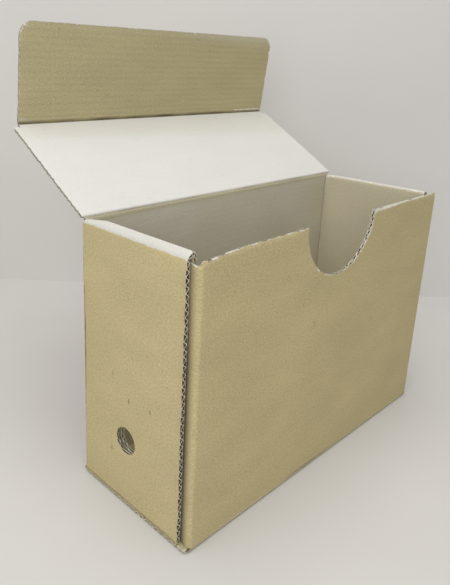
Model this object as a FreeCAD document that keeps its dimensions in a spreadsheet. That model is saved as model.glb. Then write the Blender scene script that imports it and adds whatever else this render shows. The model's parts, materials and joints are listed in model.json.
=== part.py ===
import FreeCAD, Part
import math
import os
import re
import Sketcher

doc = FreeCAD.newDocument("mailer_box")
os.makedirs("parts", exist_ok=True)

# ---------------------------------------------------------------------------
# Driving sizes, in millimetres and degrees.  Everything else follows from them.
# Frame: +X right along the front wall, +Y towards the hinged back, +Z up,
# origin at the centre of the base, on the ground.
# ---------------------------------------------------------------------------
SIZES = (
    ("box_width", "475 mm", "across the outer side walls"),
    ("box_depth", "180 mm", "front wall face to back wall face"),
    ("box_height", "322 mm", "ground to the top of the closed lid"),
    ("board", "4 mm", "thickness of the corrugated board"),
    ("fold_inner", "0.5 mm", "inner radius of a folded score line"),
    ("base_overhang", "1 mm", "base edge beyond each outer side wall"),
    ("tuck_front_gap", "4 mm", "front wall's inside to the closed tuck flap"),
    ("tuck_back_gap", "2 mm", "closed tuck flap to the side walls' front edges"),
    ("front_drop", "2 mm", "front wall's edge below the closed lid's top"),
    ("relief_gap", "1.5 mm", "front side flap's edge below the fold over it"),
    ("corner_round", "5 mm", "rounding of the front wall's top corners"),
    ("notch_radius", "68 mm", "finger notch in the front wall"),
    ("notch_shift", "3 mm", "notch centre left of the middle of the width"),
    ("finger_hole_radius", "16 mm", "round hole through the left wall"),
    ("finger_hole_y", "11 mm", "hole centre behind the middle of the depth"),
    ("finger_hole_z", "82 mm", "hole centre above the ground"),
    ("inner_hole_shift", "1.5 mm", "inner layer's hole lies lower than the outer's"),
    ("flap_hole_gap", "7 mm", "front side flap's edge to the round hole"),
    ("tab_length", "45 mm", "lock tab along the depth"),
    ("tab_edge", "18 mm", "lock tab to the near end of the inner wall"),
    ("tab_gap", "0.4 mm", "play of a lock tab in its slot, each side"),
    ("tab_tip_gap", "0.8 mm", "tab's tip above the ground"),
    ("lid_angle", "30 deg", "lid above level at rest, pointing back"),
    ("tuck_length", "121 mm", "tuck score line to the flap's edge"),
    ("tuck_fold", "67 deg", "tuck flap from in line with the lid at rest"),
    ("tuck_side_gap", "0.5 mm", "tuck flap to each front side flap when closed"),
    ("tuck_corner", "18 mm", "rounding of the tuck flap's free corners"),
    ("score_radius", "1.5 mm", "pressed score line that the lid turns on"),
    ("score_gap", "0.5 mm", "score line to the panel that turns on it"),
    ("score_half", "0.75 mm", "half thickness of the board pressed beside a score"),
    ("score_zone", "6 mm", "width of pressed board each side of a score"),
)
# Sizes that follow from the ones above.
DERIVED = (
    ("fold_outer", "=fold_inner + board"),
    ("half_width", "=box_width / 2"),
    ("half_depth", "=box_depth / 2"),
    ("wall_top", "=box_height - board"),
    ("front_top", "=box_height - front_drop"),
    ("hinge_y", "=half_depth - board / 2"),
    ("hinge_z", "=box_height - board / 2"),
    ("side_front", "=-half_depth + 2 * board + tuck_front_gap + tuck_back_gap"),
    ("side_back", "=half_depth - fold_outer"),
    ("flap_end", "=finger_hole_y - finger_hole_radius - flap_hole_gap"),
    ("front_half", "=half_width - board"),
    ("inner_face", "=half_width - 3 * board"),
    ("fold_level", "=wall_top - fold_outer"),
    ("relief_top", "=fold_level - relief_gap"),
    ("back_top", "=hinge_z - score_zone"),
    ("base_front", "=-half_depth + fold_outer"),
    ("base_half", "=half_width + base_overhang"),
    ("lid_length", "=box_depth - 2 * board - tuck_front_gap"),
    ("tuck_half", "=half_width - 2 * board - tuck_side_gap"),
)


def make_sheet():
    """Write every size once, with its alias and its meaning."""
    sheet = doc.addObject("Spreadsheet::Sheet", "Sizes")
    for row, (alias, value, meaning) in enumerate(SIZES, start=1):
        sheet.set("A%d" % row, meaning)
        sheet.set("B%d" % row, value)
        sheet.setAlias("B%d" % row, alias)
    doc.recompute()
    for row, (alias, value) in enumerate(DERIVED, start=len(SIZES) + 1):
        sheet.set("A%d" % row, "follows from the sizes above")
        sheet.set("B%d" % row, value)
        sheet.setAlias("B%d" % row, alias)
        doc.recompute()
    return sheet


AXIS_Y = FreeCAD.Vector(0, 1, 0)
AXIS_Z = FreeCAD.Vector(0, 0, 1)
sheet = make_sheet()
ALIASES = [row[0] for row in SIZES] + [row[0] for row in DERIVED]


def expr(text):
    """Point the size names in an expression at the spreadsheet."""

    def point(match):
        word = match.group()
        return "Sizes." + word if word in ALIASES else word

    return re.sub(r"[a-z_]+", point, text)


def value(text):
    """Value of an expression in millimetres or degrees."""
    result = sheet.evalExpression(expr(text))
    return float(getattr(result, "Value", result))


def new_body(label, base=("0 mm", "0 mm", "0 mm"), tilt=None):
    """Body with its node name and a placement that follows the sheet."""
    body = doc.addObject("PartDesign::Body", label)
    body.Label = label
    if tilt:
        axis = FreeCAD.Vector(1, 0, 0)
        body.Placement = FreeCAD.Placement(FreeCAD.Vector(), FreeCAD.Rotation(axis, 30))
        body.setExpression("Placement.Rotation.Angle", expr(tilt))
    for letter, text in zip("xyz", base):
        body.setExpression("Placement.Base." + letter, expr(text))
    return body


def new_sketch(body, role, name):
    """Sketch on one of the body's own origin planes."""
    sketch = body.newObject("Sketcher::SketchObject", name)
    plane = [item for item in body.Origin.OriginFeatures if item.Role == role][0]
    sketch.AttachmentSupport = (plane, [""])
    sketch.MapMode = "FlatFace"
    return sketch


def bind(sketch, kind, refs, text):
    """Add one constraint whose value follows an expression."""
    index = sketch.addConstraint(Sketcher.Constraint(kind, *refs, value(text)))
    sketch.setExpression("Constraints[%d]" % index, expr(text))


def outline(sketch, corners):
    """Closed polygon; every corner is a pair of expressions."""
    points = [FreeCAD.Vector(value(x), value(y), 0) for x, y in corners]
    count = len(points)
    for i in range(count):
        sketch.addGeometry(Part.LineSegment(points[i], points[(i + 1) % count]), False)
    for i in range(count):
        sketch.addConstraint(Sketcher.Constraint("Coincident", i, 2, (i + 1) % count, 1))
    for i, (x, y) in enumerate(corners):
        bind(sketch, "DistanceX", (-1, 1, i, 1), x)
        bind(sketch, "DistanceY", (-1, 1, i, 1), y)


def circle(sketch, x, y, radius):
    """Circle with its centre and radius bound to expressions."""
    centre = FreeCAD.Vector(value(x), value(y), 0)
    shape = Part.Circle(centre, FreeCAD.Vector(0, 0, 1), value(radius))
    index = sketch.addGeometry(shape, False)
    bind(sketch, "DistanceX", (-1, 1, index, 3), x)
    bind(sketch, "DistanceY", (-1, 1, index, 3), y)
    bind(sketch, "Radius", (index,), radius)


def quarter_ring(sketch, right, up):
    """Quarter ring of folded board round the origin; right and up are its signs."""
    zero = FreeCAD.Vector()
    normal = FreeCAD.Vector(0, 0, 1)
    radii = (value("fold_inner"), value("fold_outer"))
    start = {(1, 1): 0.0, (-1, 1): 0.5, (-1, -1): 1.0, (1, -1): 1.5}[(right, up)] * math.pi
    for radius in radii:
        ring = Part.Circle(zero, normal, radius)
        sketch.addGeometry(Part.ArcOfCircle(ring, start, start + math.pi / 2), False)
    for angle in (start, start + math.pi / 2):
        ray = FreeCAD.Vector(round(math.cos(angle)), round(math.sin(angle)), 0)
        sketch.addGeometry(Part.LineSegment(ray * radii[0], ray * radii[1]), False)
    joins = ((0, 3, -1, 1), (1, 3, -1, 1), (2, 1, 0, 1), (2, 2, 1, 1), (3, 1, 0, 2), (3, 2, 1, 2))
    for refs in joins:
        sketch.addConstraint(Sketcher.Constraint("Coincident", *refs))
    first_is_level = right == up
    sketch.addConstraint(Sketcher.Constraint("Horizontal", 2 if first_is_level else 3))
    sketch.addConstraint(Sketcher.Constraint("Vertical", 3 if first_is_level else 2))
    bind(sketch, "Radius", (0,), "fold_inner")
    bind(sketch, "Radius", (1,), "fold_outer")


def pad(body, sketch, name, length, middle=False):
    """Pad a sketch by an expression, to one side or to both alike."""
    feature = body.newObject("PartDesign::Pad", name)
    feature.Profile = sketch
    feature.Midplane = middle
    feature.setExpression("Length", expr(length))
    sketch.Visibility = False
    body.Tip = feature
    doc.recompute()
    return feature


def cut_through(body, sketch, name):
    """Pocket through the whole body, checked to have removed material."""
    before = body.Shape.Volume
    feature = body.newObject("PartDesign::Pocket", name)
    feature.Profile = sketch
    feature.Type = "ThroughAll"
    feature.Midplane = True
    sketch.Visibility = False
    body.Tip = feature
    doc.recompute()
    if body.Shape.Volume >= before - 1:
        raise RuntimeError("pocket removed nothing: " + name)
    return feature


def round_corners(body, name, radius, along, wanted):
    """Fillet the tip's straight edges along a direction that the test picks."""
    tip = body.Tip
    names = []
    for index, edge in enumerate(tip.Shape.Edges, start=1):
        if len(edge.Vertexes) != 2:
            continue
        span = edge.Vertexes[1].Point - edge.Vertexes[0].Point
        if abs(abs(span.dot(along)) - span.Length) > 1e-6:
            continue
        if wanted(edge.CenterOfMass):
            names.append("Edge%d" % index)
    if not names:
        raise RuntimeError("no edge to round: " + name)
    feature = body.newObject("PartDesign::Fillet", name)
    feature.Base = (tip, names)
    feature.setExpression("Radius", expr(radius))
    body.Tip = feature
    doc.recompute()
    return feature


TABS = {
    "front": ("side_front + tab_edge", "side_front + tab_edge + tab_length"),
    "back": ("side_back - tab_edge - tab_length", "side_back - tab_edge"),
}


def rectangle(left, bottom, right, top):
    """Corner list of an upright rectangle."""
    return ((left, bottom), (right, bottom), (right, top), (left, top))


# ---------------------------------------------------------------------------
# Folded score lines
# ---------------------------------------------------------------------------
def make_fold(label, role, signs, base, length, middle=False):
    """Quarter fold that joins two panels at right angles."""
    body = new_body(label, base)
    sketch = new_sketch(body, role, label + "_profile")
    quarter_ring(sketch, *signs)
    pad(body, sketch, label + "_ring", length, middle)
    return body


def make_score(label, base, tilt, length):
    """Pressed strip that ends in the round line on which the next panel turns."""
    body = new_body(label, base, tilt)
    strip = new_sketch(body, "YZ_Plane", label + "_profile")
    near = "-(score_radius + score_gap)"
    corners = (
        ("-board / 2", "-score_zone"),
        ("board / 2", "-score_zone"),
        ("score_half", near),
        ("score_half", "0 mm"),
        ("-score_half", "0 mm"),
        ("-score_half", near),
    )
    outline(strip, corners)
    pad(body, strip, label + "_strip", length, middle=True)
    line = new_sketch(body, "YZ_Plane", label + "_line_profile")
    circle(line, "0 mm", "0 mm", "score_radius")
    pad(body, line, label + "_line", length, middle=True)
    return body


# ---------------------------------------------------------------------------
# Bottom, front and back, one behind the other along the blank
# ---------------------------------------------------------------------------
def make_bottom_panel():
    body = new_body("bottom_panel")
    sketch = new_sketch(body, "XY_Plane", "bottom_outline")
    outline(sketch, rectangle("-base_half", "base_front", "base_half", "-base_front"))
    pad(body, sketch, "bottom_board", "board")
    for side, sign in (("left", "-1"), ("right", "1")):
        for place, (low, high) in TABS.items():
            name = "%s_%s_slot" % (side, place)
            slot = new_sketch(body, "XY_Plane", name + "_outline")
            near = sign + " * (inner_face - tab_gap)"
            far = sign + " * (inner_face + board + tab_gap)"
            outline(slot, rectangle(near, low + " - tab_gap", far, high + " + tab_gap"))
            cut_through(body, slot, name)


def make_front_wall():
    body = new_body("front_wall", ("0 mm", "-half_depth + board", "0 mm"))
    sketch = new_sketch(body, "XZ_Plane", "front_outline")
    side = "(front_half - fold_outer)"
    outline(sketch, rectangle("-" + side, "fold_outer", side, "front_top"))
    pad(body, sketch, "front_board", "board")
    top = value("front_top") - 1
    round_corners(body, "front_corners", "corner_round", AXIS_Y, lambda at: at.z > top)
    notch = new_sketch(body, "XZ_Plane", "notch_outline")
    circle(notch, "-notch_shift", "front_top", "notch_radius")
    cut_through(body, notch, "finger_notch")


def make_back_wall():
    body = new_body("back_wall", ("0 mm", "half_depth", "0 mm"))
    sketch = new_sketch(body, "XZ_Plane", "back_outline")
    side = "(half_width - fold_outer)"
    outline(sketch, rectangle("-" + side, "fold_outer", side, "back_top"))
    pad(body, sketch, "back_board", "board")


def make_bottom_folds():
    base = ("0 mm", "-half_depth + fold_outer", "fold_outer")
    make_fold("front_bottom_crease", "YZ_Plane", (-1, -1), base, "2 * front_half", True)
    base = ("0 mm", "half_depth - fold_outer", "fold_outer")
    make_fold("back_bottom_crease", "YZ_Plane", (1, -1), base, "box_width", True)


# ---------------------------------------------------------------------------
# Side walls: outer wall, turned-over top, inner wall with lock tabs
# ---------------------------------------------------------------------------
def make_outer_wall(side, sign):
    label = side + "_outer_wall"
    body = new_body(label, (sign + " * (half_width - board / 2)", "0 mm", "0 mm"))
    sketch = new_sketch(body, "YZ_Plane", label + "_outline")
    outline(sketch, rectangle("side_front", "board", "side_back", "fold_level"))
    pad(body, sketch, label + "_board", "board", middle=True)
    if side == "left":
        hole = new_sketch(body, "YZ_Plane", "outer_hole_outline")
        circle(hole, "finger_hole_y", "finger_hole_z", "finger_hole_radius")
        cut_through(body, hole, "outer_finger_hole")


def make_inner_wall(side, sign):
    label = side + "_inner_wall"
    body = new_body(label, (sign + " * (inner_face + board / 2)", "0 mm", "0 mm"))
    sketch = new_sketch(body, "YZ_Plane", label + "_outline")
    corners = [("side_front", "fold_level"), ("side_front", "board")]
    for low, high in TABS.values():
        corners += [(low, "board"), (low, "tab_tip_gap"), (high, "tab_tip_gap"), (high, "board")]
    corners += [("side_back", "board"), ("side_back", "fold_level")]
    outline(sketch, corners)
    pad(body, sketch, label + "_board", "board", middle=True)
    if side == "left":
        hole = new_sketch(body, "YZ_Plane", "inner_hole_outline")
        circle(hole, "finger_hole_y", "finger_hole_z - inner_hole_shift", "finger_hole_radius")
        cut_through(body, hole, "inner_finger_hole")


def make_rollover(side, sign):
    """Two folds and the narrow strip between them, over the front side flap."""
    length = "side_back - side_front"
    out = int(sign)
    base = (sign + " * (half_width - fold_outer)", "side_back", "fold_level")
    make_fold(side + "_cap_outer_crease", "XZ_Plane", (out, 1), base, length)
    base = (sign + " * (inner_face + fold_outer)", "side_back", "fold_level")
    make_fold(side + "_cap_inner_crease", "XZ_Plane", (-out, 1), base, length)
    label = side + "_rollover_cap"
    body = new_body(label, base)
    strip = new_sketch(body, "XZ_Plane", label + "_outline")
    far = sign + " * (3 * board - 2 * fold_outer)"
    outline(strip, rectangle("0 mm", "fold_inner", far, "fold_outer"))
    pad(body, strip, label + "_board", length)


def make_front_side_flap(side, sign):
    label = "front_%s_flap" % side
    body = new_body(label, (sign + " * (front_half - board / 2)", "0 mm", "0 mm"))
    sketch = new_sketch(body, "YZ_Plane", label + "_outline")
    outline(sketch, rectangle("base_front", "fold_outer", "flap_end", "relief_top"))
    pad(body, sketch, label + "_board", "board", middle=True)


def make_upright_folds(side, sign):
    out = int(sign)
    base = (sign + " * (front_half - fold_outer)", "-half_depth + fold_outer", "fold_outer")
    length = "relief_top - fold_outer"
    make_fold("front_%s_crease" % side, "XY_Plane", (out, -1), base, length)
    base = (sign + " * (half_width - fold_outer)", "half_depth - fold_outer", "fold_outer")
    length = "back_top - fold_outer"
    make_fold("back_%s_crease" % side, "XY_Plane", (out, 1), base, length)


# ---------------------------------------------------------------------------
# Lid and tuck flap
# ---------------------------------------------------------------------------
TUCK_Y = "hinge_y + lid_length * cos(lid_angle)"
TUCK_Z = "hinge_z + lid_length * sin(lid_angle)"


def make_lid_panel():
    body = new_body("lid_panel", ("0 mm", "hinge_y", "hinge_z"), "lid_angle")
    sketch = new_sketch(body, "YZ_Plane", "lid_profile")
    root = "score_radius + score_gap"
    corners = (
        (root, "-score_half"),
        ("score_zone", "-board / 2"),
        ("lid_length - score_zone", "-board / 2"),
        ("lid_length - score_zone", "board / 2"),
        ("score_zone", "board / 2"),
        (root, "score_half"),
    )
    outline(sketch, corners)
    pad(body, sketch, "lid_board", "box_width", middle=True)


def make_tuck_flap():
    body = new_body("tuck_flap", ("0 mm", TUCK_Y, TUCK_Z), "lid_angle + tuck_fold")
    sketch = new_sketch(body, "YZ_Plane", "tuck_profile")
    root = "score_radius + score_gap"
    corners = (
        (root, "-score_half"),
        ("score_zone", "-board / 2"),
        ("tuck_length", "-board / 2"),
        ("tuck_length", "board / 2"),
        ("score_zone", "board / 2"),
        (root, "score_half"),
    )
    outline(sketch, corners)
    pad(body, sketch, "tuck_board", "2 * tuck_half", middle=True)
    edge = value("tuck_length") - 1
    round_corners(body, "tuck_corners", "tuck_corner", AXIS_Z, lambda at: at.y > edge)


def make_lid():
    make_score("lid_crease", ("0 mm", "hinge_y", "hinge_z"), None, "2 * (half_width - fold_outer)")
    make_lid_panel()
    make_score("tuck_crease", ("0 mm", TUCK_Y, TUCK_Z), "lid_angle - 90 deg", "box_width")
    make_tuck_flap()


# ---------------------------------------------------------------------------
# Checks and export
# ---------------------------------------------------------------------------
def check_and_export():
    """Stop on anything unsound, then write one file per sub-part."""
    for item in doc.Objects:
        if "Invalid" in item.State or "Error" in item.State:
            raise RuntimeError("unsound object: " + item.Label)
    bodies = [item for item in doc.Objects if item.TypeId == "PartDesign::Body"]
    for body in bodies:
        shape = body.Shape
        if shape.isNull() or not shape.isValid() or len(shape.Solids) != 1:
            raise RuntimeError("unsound shape: " + body.Label)
    for body in bodies:
        body.Shape.exportStep("parts/%s.step" % body.Label)


def main():
    make_bottom_panel()
    make_front_wall()
    make_back_wall()
    make_bottom_folds()
    for side, sign in (("left", "-1"), ("right", "1")):
        make_outer_wall(side, sign)
        make_inner_wall(side, sign)
        make_rollover(side, sign)
        make_front_side_flap(side, sign)
        make_upright_folds(side, sign)
    make_lid()
    doc.recompute()
    check_and_export()


main()
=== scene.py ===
import json
import math
from types import SimpleNamespace

import bmesh
import bpy
import numpy as np
from mathutils import Matrix, Vector
from mathutils.geometry import delaunay_2d_cdt


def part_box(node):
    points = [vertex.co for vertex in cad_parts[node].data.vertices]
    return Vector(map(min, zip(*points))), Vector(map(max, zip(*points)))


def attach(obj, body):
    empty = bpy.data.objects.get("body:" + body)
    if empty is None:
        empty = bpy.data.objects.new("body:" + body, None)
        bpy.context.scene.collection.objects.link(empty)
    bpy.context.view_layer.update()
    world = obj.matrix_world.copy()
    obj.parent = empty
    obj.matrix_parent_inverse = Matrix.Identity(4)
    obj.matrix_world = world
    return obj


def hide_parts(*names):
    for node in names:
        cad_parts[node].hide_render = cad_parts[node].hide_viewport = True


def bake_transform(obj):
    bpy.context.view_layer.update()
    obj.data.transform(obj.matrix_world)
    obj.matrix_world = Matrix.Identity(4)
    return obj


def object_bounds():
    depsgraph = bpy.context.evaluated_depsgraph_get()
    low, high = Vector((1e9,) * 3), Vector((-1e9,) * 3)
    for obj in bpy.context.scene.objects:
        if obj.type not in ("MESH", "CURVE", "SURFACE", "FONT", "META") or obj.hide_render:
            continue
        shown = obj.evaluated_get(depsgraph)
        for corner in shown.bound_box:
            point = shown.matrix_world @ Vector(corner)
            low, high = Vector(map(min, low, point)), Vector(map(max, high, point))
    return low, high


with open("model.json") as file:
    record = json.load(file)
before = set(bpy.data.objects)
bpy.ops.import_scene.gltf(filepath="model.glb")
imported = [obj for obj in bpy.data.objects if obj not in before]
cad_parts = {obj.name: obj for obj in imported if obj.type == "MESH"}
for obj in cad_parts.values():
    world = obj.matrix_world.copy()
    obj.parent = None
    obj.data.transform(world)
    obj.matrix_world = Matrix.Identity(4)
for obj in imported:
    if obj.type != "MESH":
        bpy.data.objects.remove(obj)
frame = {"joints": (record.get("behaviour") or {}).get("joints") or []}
CAD_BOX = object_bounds()

bl_info = {
    "name": "Corrugated Mailer Box",
    "version": (1, 0, 0),
    "blender": (4, 5, 0),
    "location": "View3D > Sidebar > Mailer Box",
    "description": "Builds the board, folds, torn edges and stage of a corrugated mailer box",
    "category": "Add Mesh",
}

MM = 0.001
UP, OUT = 2, 1


def low(node, axis):
    """Lowest coordinate of a CAD node along an axis, in millimetres."""
    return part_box(node)[0][axis] / MM


def high(node, axis):
    """Highest coordinate of a CAD node along an axis, in millimetres."""
    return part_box(node)[1][axis] / MM


HINGE = {joint["name"]: joint for joint in frame["joints"]}
LID_Y, LID_Z = [v / MM for v in HINGE["lid_fold"]["pos_m"][1:]]
TUCK_Y, TUCK_Z = [v / MM for v in HINGE["tuck_fold"]["pos_m"][1:]]
BOARD = high("bottom_panel", UP) - low("bottom_panel", UP)
HALF = BOARD / 2
FOLD = high("front_bottom_crease", UP) - low("front_bottom_crease", UP) - HALF
SIDE_X = high("right_outer_wall", 0) - HALF
INNER_X = low("right_inner_wall", 0) + HALF
FLAP_X = low("front_right_flap", 0) + HALF
FRONT_Y = low("front_wall", OUT) + HALF
BACK_Y = high("back_wall", OUT) - HALF
SIDE_FRONT, SIDE_BACK = low("right_outer_wall", OUT), high("right_outer_wall", OUT)
FLAP_END = high("front_right_flap", OUT)
CAP_Z = high("right_rollover_cap", UP) - HALF
WALL_FOOT = low("right_outer_wall", UP)
FRONT_TOP, RELIEF_TOP = high("front_wall", UP), high("front_right_flap", UP)
BACK_TOP = high("back_wall", UP)
FOOT = low("front_wall", UP)
BASE_X = high("bottom_panel", 0)
LID_X = high("lid_panel", 0)
TUCK_X = high("tuck_flap", 0)
LID_DIR = math.atan2(TUCK_Z - LID_Z, TUCK_Y - LID_Y)
BEND = 1.3
CAP_RISE = {1: (3.3, 6.2), -1: (1.0, 1.8)}  # outer and inner edge of the left and the right top
CAP_SLOPE = 2.6
HOLE_Y, HOLE_RADIUS = 11.0, 16.0
OUTER_HOLE_Z, INNER_HOLE_Z = 82.0, 80.5
TAB_START, TAB_END = 18, 63
NOTCH_REACH, NOTCH_DEPTH, NOTCH_SHIFT = 68.0, 66.0, 3.0
TUCK_REACH, TUCK_TURN = 121.0, math.radians(67)
CREASE_ZONE = 7.0
SCORE = (1.6, 0.74)  # width of a scored line, and the share of the thickness that it leaves
STEPS = (8.0, 2.0)  # spacing of a sheet's points along and across the flutes
CRUSH_WIDTH = 1.7
EDGE_STEP = 2.4  # spacing of points along an outline
FOLD_STEP = 0.5  # spacing of a sheet's points on a fold
BESIDE_FOLD = (0.35, 0.75, 1.2)
HOLE_SIDES = 56
MOST_CRUSH, LEAST_HALF = 0.78, 0.04
TRIM_HEIGHT = 0.006
SHARP_LINER, SHARP_FLUTES = math.radians(38), math.radians(50)
# wear is whitened, torn paper; the other three are painted fold highlight, painted shade and painted
# highlight
LAYERS = ("wear", "rub", "grime", "pale")


# Settings that a user would change
def length_setting(name, description, default, least=0.0001, digits=5):
    """Property for a length."""
    return bpy.props.FloatProperty(
        name=name, description=description, default=default, min=least, unit="LENGTH", precision=digits
    )


def colour_setting(name, description, default):
    """Property for a paper's colour."""
    return bpy.props.FloatVectorProperty(
        name=name, description=description, default=default, subtype="COLOR", size=3
    )


def angle_setting(name, description, degrees):
    """Property for one of the camera's angles."""
    return bpy.props.FloatProperty(
        name=name, description=description, default=math.radians(degrees), subtype="ANGLE"
    )


class BoardSettings(bpy.types.PropertyGroup):
    """Sizes of the corrugated board."""

    pitch: length_setting("Flute pitch", "Distance between two flutes", 0.00795, 0.002)
    liner: length_setting("Liner thickness", "Thickness of each face paper", 0.0003)
    medium: length_setting("Medium thickness", "Thickness of the fluted paper", 0.0008)
    washboard: length_setting("Washboard", "Depth of the liner's sag between flutes", 0.000015, 0.0, 6)
    ragged: length_setting("Ragged edges", "Depth of the torn outline at cut edges", 0.00035, 0.0)
    seed: bpy.props.IntProperty(name="Seed", description="Seed of everything random", default=7)


def board_sizes():
    """The board's settings with their lengths in millimetres, and the seed."""
    settings = bpy.context.scene.mailer_board
    keys = ("pitch", "liner", "medium", "washboard", "ragged")
    sizes = {key: round(getattr(settings, key) / MM, 6) for key in keys}
    return SimpleNamespace(seed=settings.seed, **sizes)


def own_seed(name):
    """A piece's own seed, from the setting and its name."""
    return board_sizes().seed + sum(map(ord, name))


class PaperSettings(bpy.types.PropertyGroup):
    """Colours of the papers."""

    kraft: colour_setting("Kraft", "Outer liner", (0.50, 0.418, 0.226))
    # Painted highlight colour: the kraft of the lid's inner face and the tops as it looks under the strong
    # overhead light
    pale: colour_setting("Painted highlight liner", "Inner face of the lid and the tops", (0.66, 0.652, 0.612))
    inside: colour_setting("Inside", "Inner liner", (0.475, 0.412, 0.232))
    # Fluted paper's brown, partly its own tone and partly painted shade in the flute hollows
    medium: colour_setting("Medium", "Fluted paper", (0.19, 0.155, 0.10))
    fibre: colour_setting("Torn fibre", "Freshly torn paper", (0.76, 0.74, 0.67))


class StageSettings(bpy.types.PropertyGroup):
    """Camera, light and backdrop."""

    azimuth: angle_setting("Azimuth", "Camera's turn about the box", -43.98)
    pitch_down: angle_setting("Pitch", "Camera's angle below level", 16.725)
    roll: angle_setting("Roll", "Camera's roll", 1.87)
    place: bpy.props.FloatVectorProperty(
        name="Place", description="Camera's position", default=(-0.5875, -0.43, 0.4872), size=3,
        subtype="XYZ", unit="LENGTH",
    )
    key: bpy.props.FloatProperty(name="Key light", description="Power of the ceiling light", default=14.0)


# Folded sheets: flat regions that follow a line of panels and folds
class Fold:
    """The board's middle line in a plane: straight panels joined by round folds."""

    def __init__(self, corners, radius, axes, flip=1, sink=None):
        self.axes, self.flip, self.sink = axes, flip, sink
        # 1 if along, across, outward is right-handed, else -1
        self.handed = flip * round(np.linalg.det(np.eye(3)[list(axes)]))
        self.parts = []
        self.corners = []
        pts = [np.array(c, float) for c in corners]
        length = cut = 0.0
        for i in range(len(pts) - 1):
            step = pts[i + 1] - pts[i]
            span = np.linalg.norm(step)
            heading = math.atan2(step[1], step[0])
            turn = trim = 0.0
            if i + 2 < len(pts):
                after = pts[i + 2] - pts[i + 1]
                turn = math.atan2(after[1], after[0]) - heading
                turn = (turn + math.pi) % (2 * math.pi) - math.pi
                trim = radius * math.tan(abs(turn) / 2)
            self.corners.append(length - cut)
            start = pts[i] + step / span * cut
            run = span - cut - trim
            self.parts.append((length, run, start, heading, 0.0))
            length += run
            if turn:
                arc = radius * abs(turn)
                self.parts.append((length, arc, start + step / span * run, heading, turn / arc))
                length += arc
            cut = trim
        self.length = length

    def place(self, u, s, w):
        """Points in millimetres for along u, across s and offset w towards the outer face."""
        out = np.zeros((len(s), 3))
        a, b, c = self.axes
        for start, run, origin, heading, curve in self.parts:
            first = start == 0.0
            last = abs(start + run - self.length) < 1e-6
            inside = ((s >= start) | first) & ((s < start + run) | last)
            t = s[inside] - start
            if curve:
                angle = heading + curve * t
                x = origin[0] + (np.sin(angle) - math.sin(heading)) / curve
                y = origin[1] - (np.cos(angle) - math.cos(heading)) / curve
            else:
                angle = np.full(t.shape, heading)
                x = origin[0] + np.cos(angle) * t
                y = origin[1] + np.sin(angle) * t
            out[inside, a] = x - np.sin(angle) * w[inside]
            out[inside, b] = y + np.cos(angle) * w[inside]
            out[inside, c] = u[inside]
        if self.sink is not None:
            out[:, b] -= self.sink(u, s)
        out[:, 0] *= self.flip
        return out

    def along(self, panel, distance):
        """Place across the sheet at a distance from a panel's first corner."""
        return self.corners[panel] + distance

    def at_fold(self, index):
        """Where the numbered fold's middle lies across the sheet."""
        folds = [p for p in self.parts if p[4]]
        return folds[index][0] + folds[index][1] / 2


def swell(a, b, seed, size):
    """Smooth random field of a and b, about -1 to 1, with features of the given size."""
    rng = np.random.default_rng(seed)
    total = np.zeros_like(a, dtype=float)
    for _ in range(7):
        turn = rng.uniform(0, 2 * math.pi)
        freq = rng.uniform(0.5, 1.6) * 2 * math.pi / size
        phase = rng.uniform(0, 2 * math.pi)
        total += np.sin((a * math.cos(turn) + b * math.sin(turn)) * freq + phase)
    return total / 3.5


def inside_loops(p, loops):
    """Even-odd test of points against closed loops."""
    result = np.zeros(len(p), bool)
    for loop in loops:
        q = np.roll(loop, -1, axis=0)
        for (x0, y0), (x1, y1) in zip(loop, q):
            if y0 == y1:
                continue
            hit = (p[:, 1] > min(y0, y1)) & (p[:, 1] <= max(y0, y1))
            x = x0 + (p[:, 1] - y0) * (x1 - x0) / (y1 - y0)
            result ^= hit & (p[:, 0] < x)
    return result


def gap_to(p, segments):
    """Distance of each point to the nearest of the segments."""
    best = np.full(len(p), 1e9)
    for (x0, y0), (x1, y1) in segments:
        dx, dy = x1 - x0, y1 - y0
        norm = dx * dx + dy * dy
        if norm == 0:
            continue
        t = np.clip(((p[:, 0] - x0) * dx + (p[:, 1] - y0) * dy) / norm, 0, 1)
        best = np.minimum(best, np.hypot(p[:, 0] - x0 - t * dx, p[:, 1] - y0 - t * dy))
    return best


def smooth(edge0, edge1, x):
    """Smooth step from edge0 to edge1."""
    t = np.clip((x - edge0) / (edge1 - edge0), 0, 1)
    return t * t * (3 - 2 * t)


def divide(points, step):
    """Points along an open line, no further apart than the step."""
    out = []
    for p, q in zip(points[:-1], points[1:]):
        p, q = np.array(p, float), np.array(q, float)
        n = max(1, int(math.ceil(np.linalg.norm(q - p) / step)))
        out += [p + (q - p) * i / n for i in range(n)]
    out.append(np.array(points[-1], float))
    return out


def bump(x, width):
    """Bell curve: 1 where x is 0, and next to nothing past twice the width."""
    return np.exp(-((x / width) ** 2))


def fill(loops, inner=()):
    """Points and triangles between closed loops, through the inner points too."""
    verts = []
    edges = []
    for loop in loops:
        base = len(verts)
        verts += [Vector(p) for p in loop]
        edges += [(base + i, base + (i + 1) % len(loop)) for i in range(len(loop))]
    verts += [Vector(p) for p in inner]
    out = delaunay_2d_cdt(verts, edges, [], 0, 1e-6)
    return np.array([tuple(v) for v in out[0]]), np.array(out[2], int)


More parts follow.
